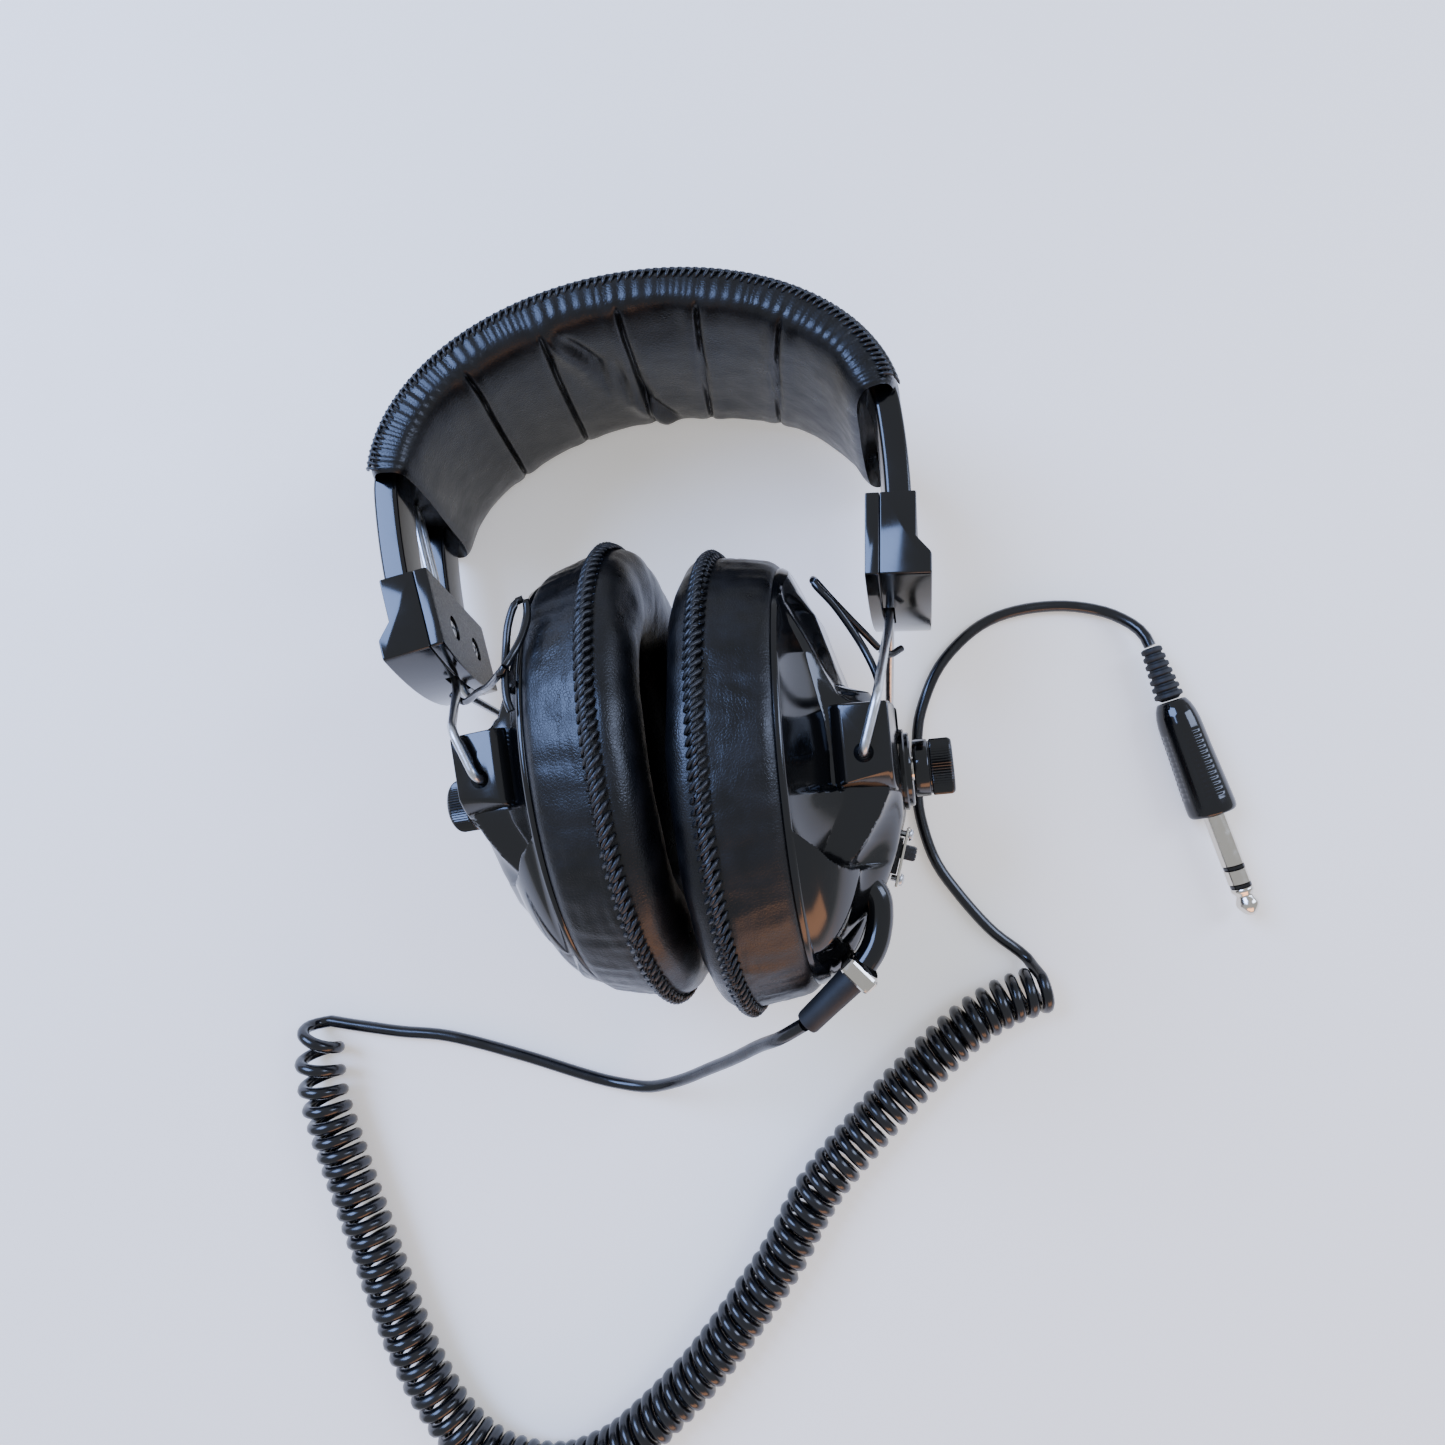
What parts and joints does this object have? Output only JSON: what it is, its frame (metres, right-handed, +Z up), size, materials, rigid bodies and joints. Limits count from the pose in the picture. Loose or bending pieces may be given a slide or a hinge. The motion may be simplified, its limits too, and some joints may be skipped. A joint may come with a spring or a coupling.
{
  "type": "radio headphones",
  "caption": "Over-ear stereo headphones with a sprung padded headband, wire yokes, volume knobs, slide switch and a curly cord ending in a 6.35 mm plug.",
  "frame": {"origin": "on the surface that the headphones lie on, under the middle of the cups and headband without the free cord", "axes": "+Z up from that surface, +Y from the cups towards the top of the headband, +X towards the cup with the cord; a wearer's right ear is on that side"},
  "size_m": [0.2907, 0.3323, 0.092],
  "materials": {
    "gloss_abs": "moulded black ABS, polished",
    "texture_abs": "moulded black ABS, fine spark texture",
    "leatherette": "black PVC leatherette, soft sheen",
    "foam": "open-cell foam",
    "steel": "bright drawn spring steel",
    "nickel": "nickel plate",
    "rubber": "moulded rubber, matt",
    "cord": "black PVC jacket",
    "grey_cap": "satin grey",
    "ferrite": "sintered ferrite",
    "paper_cone": "pressed paper"
  },
  "bodies": {
    "cup_right": {"shell_right": "gloss_abs", "cushion_right": "leatherette", "baffle_right": "texture_abs", "foam_disc_right": "foam", "driver_frame_right": "texture_abs", "driver_cone_right": "paper_cone", "driver_magnet_right": "ferrite", "pot_body_right": "nickel", "dial_plate_right": "gloss_abs", "switch_plate": "nickel", "switch_body": "texture_abs", "switch_screw_1": "steel", "switch_screw_2": "steel", "cord_gland": "gloss_abs", "rubber_sleeve": "rubber", "clamp_band": "nickel", "cord_lead": "cord", "cord_coil": "cord", "cord_tail": "cord", "plug_boot": "rubber", "plug_grip": "gloss_abs", "plug_sleeve": "nickel", "plug_insulator_rear": "gloss_abs", "plug_ring": "nickel", "plug_insulator_front": "gloss_abs", "plug_tip": "nickel"},
    "knob_right": {"volume_knob_right": "gloss_abs", "knob_cap_right": "grey_cap", "pot_shaft_right": "nickel"},
    "slider_right": {"switch_slider": "texture_abs"},
    "yoke_right": {"yoke_wire_right": "steel"},
    "headband": {"headband_beam_near": "gloss_abs", "headband_beam_far": "gloss_abs", "headband_sleeve": "leatherette", "headband_foam": "foam", "crossover_lead": "cord", "block_inner_right": "texture_abs", "block_outer_right": "texture_abs", "block_inner_left": "texture_abs", "block_outer_left": "texture_abs", "block_screw_right_1": "steel", "block_screw_right_2": "steel", "block_screw_left_1": "steel", "block_screw_left_2": "steel", "link_lead_right": "cord", "link_lead_left": "cord"},
    "yoke_left": {"yoke_wire_left": "steel"},
    "cup_left": {"shell_left": "gloss_abs", "cushion_left": "leatherette", "baffle_left": "texture_abs", "foam_disc_left": "foam", "driver_frame_left": "texture_abs", "driver_cone_left": "paper_cone", "driver_magnet_left": "ferrite", "pot_body_left": "nickel", "dial_plate_left": "gloss_abs"},
    "knob_left": {"volume_knob_left": "gloss_abs", "knob_cap_left": "grey_cap", "pot_shaft_left": "nickel"}
  },
  "joints": [
    {"name": "knob_right_turn", "type": "hinge", "parent": "cup_right", "child": "knob_right", "pos_m": [0.04711, -0.0396, 0.05301], "axis": [0.9853, -0.0454, 0.1649], "range_deg": [-150, 150]},
    {"name": "stereo_switch", "type": "slide", "parent": "cup_right", "child": "slider_right", "axis": [-0.347, -0.9361, -0.0581], "range_m": [0, 0.0026]},
    {"name": "cup_pivot_right", "type": "hinge", "parent": "cup_right", "child": "yoke_right", "pos_m": [0.04731, -0.0351, 0.05304], "axis": [-0.165, 0, 0.9863], "range_deg": [-10, 10], "deforming": ["link_lead_right", "cushion_right", "cushion_left"]},
    {"name": "yoke_slide_right", "type": "slide", "parent": "yoke_right", "child": "headband", "axis": [0.1562, 0.9833, -0.0934], "range_m": [-0.002, 0.028], "deforming": ["link_lead_right", "cushion_right", "cushion_left"]},
    {"name": "yoke_slide_left", "type": "slide", "parent": "headband", "child": "yoke_left", "axis": [0.1562, -0.9816, 0.1097], "range_m": [-0.002, 0.028], "deforming": ["link_lead_left", "cushion_right", "cushion_left"]},
    {"name": "cup_pivot_left", "type": "hinge", "parent": "yoke_left", "child": "cup_left", "pos_m": [-0.04527, -0.0283, 0.04206], "axis": [0.165, 0, -0.9863], "range_deg": [-10, 10], "deforming": ["link_lead_left", "cushion_right", "cushion_left"]},
    {"name": "knob_left_turn", "type": "hinge", "parent": "cup_left", "child": "knob_left", "pos_m": [-0.04517, -0.0328, 0.04208], "axis": [-0.986, -0.0227, -0.165], "range_deg": [-150, 150]}
  ]
}
